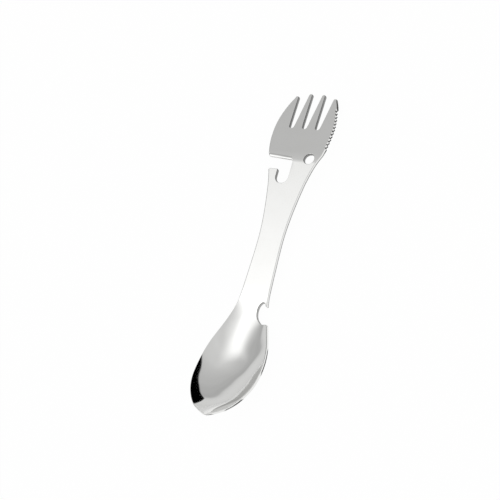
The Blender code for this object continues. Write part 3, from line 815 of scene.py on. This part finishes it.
def build_sheet(name):
    vertices, faces, normals, dull = sheet_faces()
    low, high = vertices.min(axis=0), vertices.max(axis=0)
    cad_low, cad_high = (np.array(place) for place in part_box("spork"))
    vertices = cad_low + (vertices - low) * (cad_high - cad_low) / (high - low)
    mesh = bpy.data.meshes.new(name)
    mesh.from_pydata(vertices.tolist(), [], faces)
    mesh.materials.append(polished_steel())
    mesh.materials.append(cut_steel_painted_shade())
    mesh.polygons.foreach_set("material_index", dull.astype(np.int32))
    mesh.shade_smooth()
    mesh.validate()
    mesh.update()
    mesh.normals_split_custom_set(normals.tolist())
    piece = bpy.data.objects.new(name, mesh)
    bpy.context.collection.objects.link(piece)
    return piece


def add_node(tree, kind, **settings):
    node = tree.nodes.new(kind)
    for key, value in settings.items():
        setattr(node, key, value)
    return node


def feed(tree, value, socket):
    """Link a socket to another one, or set it to a plain value."""
    if isinstance(value, bpy.types.NodeSocket):
        tree.links.new(value, socket)
    else:
        socket.default_value = value


def combine(tree, operation, *values):
    """A Math node fed with sockets or numbers."""
    node = add_node(tree, "ShaderNodeMath", operation=operation)
    for socket, value in zip(node.inputs, values):
        feed(tree, value, socket)
    return node.outputs[0]


def fade(tree, value, start, end):
    """0 up to start and 1 from end on, smoothly between."""
    node = add_node(tree, "ShaderNodeMapRange", interpolation_type="SMOOTHSTEP")
    tree.links.new(value, node.inputs["Value"])
    node.inputs["From Min"].default_value = start
    node.inputs["From Max"].default_value = end
    return node.outputs["Result"]


def blend(tree, share, first, second, kind="FLOAT"):
    """A Mix node from first to second, which are numbers, or colours when kind is RGBA."""
    node = add_node(tree, "ShaderNodeMix", data_type=kind)
    for name, value in (("Factor", share), ("A", first), ("B", second)):
        feed(tree, value, node.inputs[name])
    return node.outputs["Result"]


def noise(tree, place, scale, detail):
    node = add_node(tree, "ShaderNodeTexNoise")
    node.inputs["Scale"].default_value = scale
    node.inputs["Detail"].default_value = detail
    tree.links.new(place, node.inputs["Vector"])
    return node.outputs["Fac"]


def streaks(tree, place, scales, detail):
    """Noise drawn out along the axes whose scale is low."""
    drawn = add_node(tree, "ShaderNodeMapping")
    drawn.inputs["Scale"].default_value = scales
    tree.links.new(place, drawn.inputs["Vector"])
    return noise(tree, drawn.outputs["Vector"], 1, detail)


def new_material(name):
    """A material with its node tree and its shader."""
    material = bpy.data.materials.new(name)
    material.use_nodes = True
    return material, material.node_tree, material.node_tree.nodes["Principled BSDF"]


def polished_steel():
    """Mirror-polished stainless sheet, with faint polishing lines along it and small uneven spots."""
    material, tree, shader = new_material("polished_steel")
    shader.inputs["Metallic"].default_value = 1
    shader.inputs["IOR"].default_value = 2.5
    place = add_node(tree, "ShaderNodeTexCoord").outputs["Object"]
    lines = streaks(tree, place, (9000, 160, 9000), 3)
    tree.links.new(blend(tree, noise(tree, place, 140, 4), *POLISHED, "RGBA"), shader.inputs["Base Color"])
    rough = add_node(tree, "ShaderNodeMapRange")
    rough.inputs["From Min"].default_value = 0.3
    rough.inputs["From Max"].default_value = 0.7
    rough.inputs["To Min"].default_value, rough.inputs["To Max"].default_value = POLISHED_ROUGHNESS
    tree.links.new(lines, rough.inputs["Value"])
    tree.links.new(rough.outputs["Result"], shader.inputs["Roughness"])
    bump = add_node(tree, "ShaderNodeBump")
    bump.inputs["Strength"].default_value = 0.02
    bump.inputs["Distance"].default_value = 0.00002
    tree.links.new(lines, bump.inputs["Height"])
    tree.links.new(bump.outputs["Normal"], shader.inputs["Normal"])
    return material


def cut_steel_painted_shade():
    """The dull grey wall that stamping leaves, with fine streaks through the sheet, and painted shade and sheen
    in its grey.
    """
    material, tree, shader = new_material("cut_steel_painted_shade")
    shader.inputs["Metallic"].default_value = 1
    shader.inputs["Roughness"].default_value = 0.42
    place = add_node(tree, "ShaderNodeTexCoord").outputs["Object"]
    split = add_node(tree, "ShaderNodeSeparateXYZ")
    tree.links.new(place, split.inputs[0])
    across, along = split.outputs["X"], split.outputs["Y"]
    # Painted shade: walls on the serrated side past the handle's two ends are painted near black for reflected
    # dark
    off_handle = combine(tree, "ABSOLUTE", combine(tree, "SUBTRACT", along, PAINTED_SHADE_MIDDLE))
    # Painted sheen: the bottle opener's bite is painted a paler grey for the light its wall reflects
    off_bite = combine(tree, "ABSOLUTE", combine(tree, "SUBTRACT", along, PAINTED_SHEEN_MIDDLE))
    serrated_side = fade(tree, across, *PAINTED_SHADE_ACROSS)
    past_handle = fade(tree, off_handle, *PAINTED_SHADE_PAST)
    painted_shade_mask = combine(tree, "MULTIPLY", serrated_side, past_handle)
    lighter = combine(tree, "SUBTRACT", 1, fade(tree, off_bite, *PAINTED_SHEEN_WITHIN))
    # Dull grey with random streaks; its dark level is partly painted shade for the shadowed floor these walls
    # reflect
    colour = blend(tree, streaks(tree, place, (9000, 9000, 500), 2), *DULL_SHADED, "RGBA")
    colour = blend(tree, painted_shade_mask, colour, PAINTED_SHADE, "RGBA")
    colour = blend(tree, lighter, colour, PAINTED_SHEEN, "RGBA")
    tree.links.new(colour, shader.inputs["Base Color"])
    return material


def lit_share(tree, direction, edges):
    """How much of a light or card, bounded by soft straight edges, a direction meets."""
    share = 1
    for across, start, end in edges:
        along = add_node(tree, "ShaderNodeVectorMath", operation="DOT_PRODUCT")
        tree.links.new(direction, along.inputs[0])
        along.inputs[1].default_value = across
        share = combine(tree, "MULTIPLY", fade(tree, along.outputs["Value"], start, end), share)
    return share


def build_floor():
    """A plain white table, whose glow leaves a little of the spork's shadow on it."""
    mesh = bpy.data.meshes.new("floor")
    corners = [(-1, -1), (1, -1), (1, 1), (-1, 1)]
    mesh.from_pydata([(x * FLOOR_REACH, y * FLOOR_REACH, 0) for x, y in corners], [], [(0, 1, 2, 3)])
    floor = bpy.data.objects.new("floor", mesh)
    bpy.context.collection.objects.link(floor)
    material, tree, shader = new_material("floor")
    shader.inputs["Base Color"].default_value = FLOOR_COLOUR
    shader.inputs["Roughness"].default_value = 1
    shader.inputs["Specular IOR Level"].default_value = 0
    glow = add_node(tree, "ShaderNodeEmission")
    path = add_node(tree, "ShaderNodeLightPath")
    near = add_node(tree, "ShaderNodeVectorMath", operation="MULTIPLY")
    near.inputs[1].default_value = GLOW_SHAPE
    tree.links.new(add_node(tree, "ShaderNodeTexCoord").outputs["Object"], near.inputs[0])
    far = add_node(tree, "ShaderNodeVectorMath", operation="LENGTH")
    tree.links.new(near.outputs[0], far.inputs[0])
    close_by = combine(tree, "SUBTRACT", 1, fade(tree, far.outputs["Value"], *GLOW_FADE))
    reflected = combine(tree, "MULTIPLY", path.outputs["Is Glossy Ray"], close_by)
    shown = combine(tree, "MAXIMUM", path.outputs["Is Camera Ray"], reflected)
    mix = add_node(tree, "ShaderNodeMixShader")
    tree.links.new(combine(tree, "MULTIPLY", shown, FLOOR_GLOW), mix.inputs[0])
    tree.links.new(shader.outputs[0], mix.inputs[1])
    tree.links.new(glow.outputs[0], mix.inputs[2])
    tree.links.new(mix.outputs[0], tree.nodes["Material Output"].inputs["Surface"])
    mesh.materials.append(material)


def build_world():
    """A soft studio: a pale room that grows lighter overhead, a softbox, a strip light and a black card."""
    world = bpy.data.worlds.new("studio")
    bpy.context.scene.world = world
    world.use_nodes = True
    tree = world.node_tree
    place = add_node(tree, "ShaderNodeTexCoord")
    split = add_node(tree, "ShaderNodeSeparateXYZ")
    tree.links.new(place.outputs["Generated"], split.inputs[0])
    room = add_node(tree, "ShaderNodeFloatCurve")
    curve = room.mapping.curves[0]
    while len(curve.points) < len(ROOM_LEVELS):
        curve.points.new(0, 0)
    for point, (height, level) in zip(curve.points, ROOM_LEVELS):
        point.location = ((height + 1) / 2, level)
        point.handle_type = "VECTOR"
    room.mapping.update()
    tree.links.new(combine(tree, "MULTIPLY_ADD", split.outputs["Z"], 0.5, 0.5), room.inputs["Value"])
    studio = room.outputs[0]
    lights = [(STRIP_EDGES, STRIP_LEVEL), (SOFTBOX_EDGES, SOFTBOX_LEVEL), (CARD_EDGES, CARD_LEVEL)]
    for edges, level in lights:
        studio = blend(tree, lit_share(tree, place.outputs["Generated"], edges), studio, level)
    path = add_node(tree, "ShaderNodeLightPath")
    seen = blend(tree, path.outputs["Is Camera Ray"], studio, 1)
    background = tree.nodes["Background"]
    tree.links.new(seen, background.inputs["Color"])
    background.inputs["Strength"].default_value = 1


def build_camera():
    data = bpy.data.cameras.new("camera")
    data.sensor_width = CAMERA_SENSOR
    data.lens = CAMERA_LENS
    data.clip_start, data.clip_end = CAMERA_CLIP
    camera = bpy.data.objects.new("camera", data)
    camera.location = CAMERA_PLACE
    camera.rotation_euler = [math.radians(angle) for angle in CAMERA_DEGREES]
    bpy.context.collection.objects.link(camera)
    bpy.context.scene.camera = camera


spork = build_sheet("spork_sheet")
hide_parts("spork")
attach(spork, "root")

build_floor()
build_world()
build_camera()
bpy.context.scene.view_settings.view_transform = "Standard"
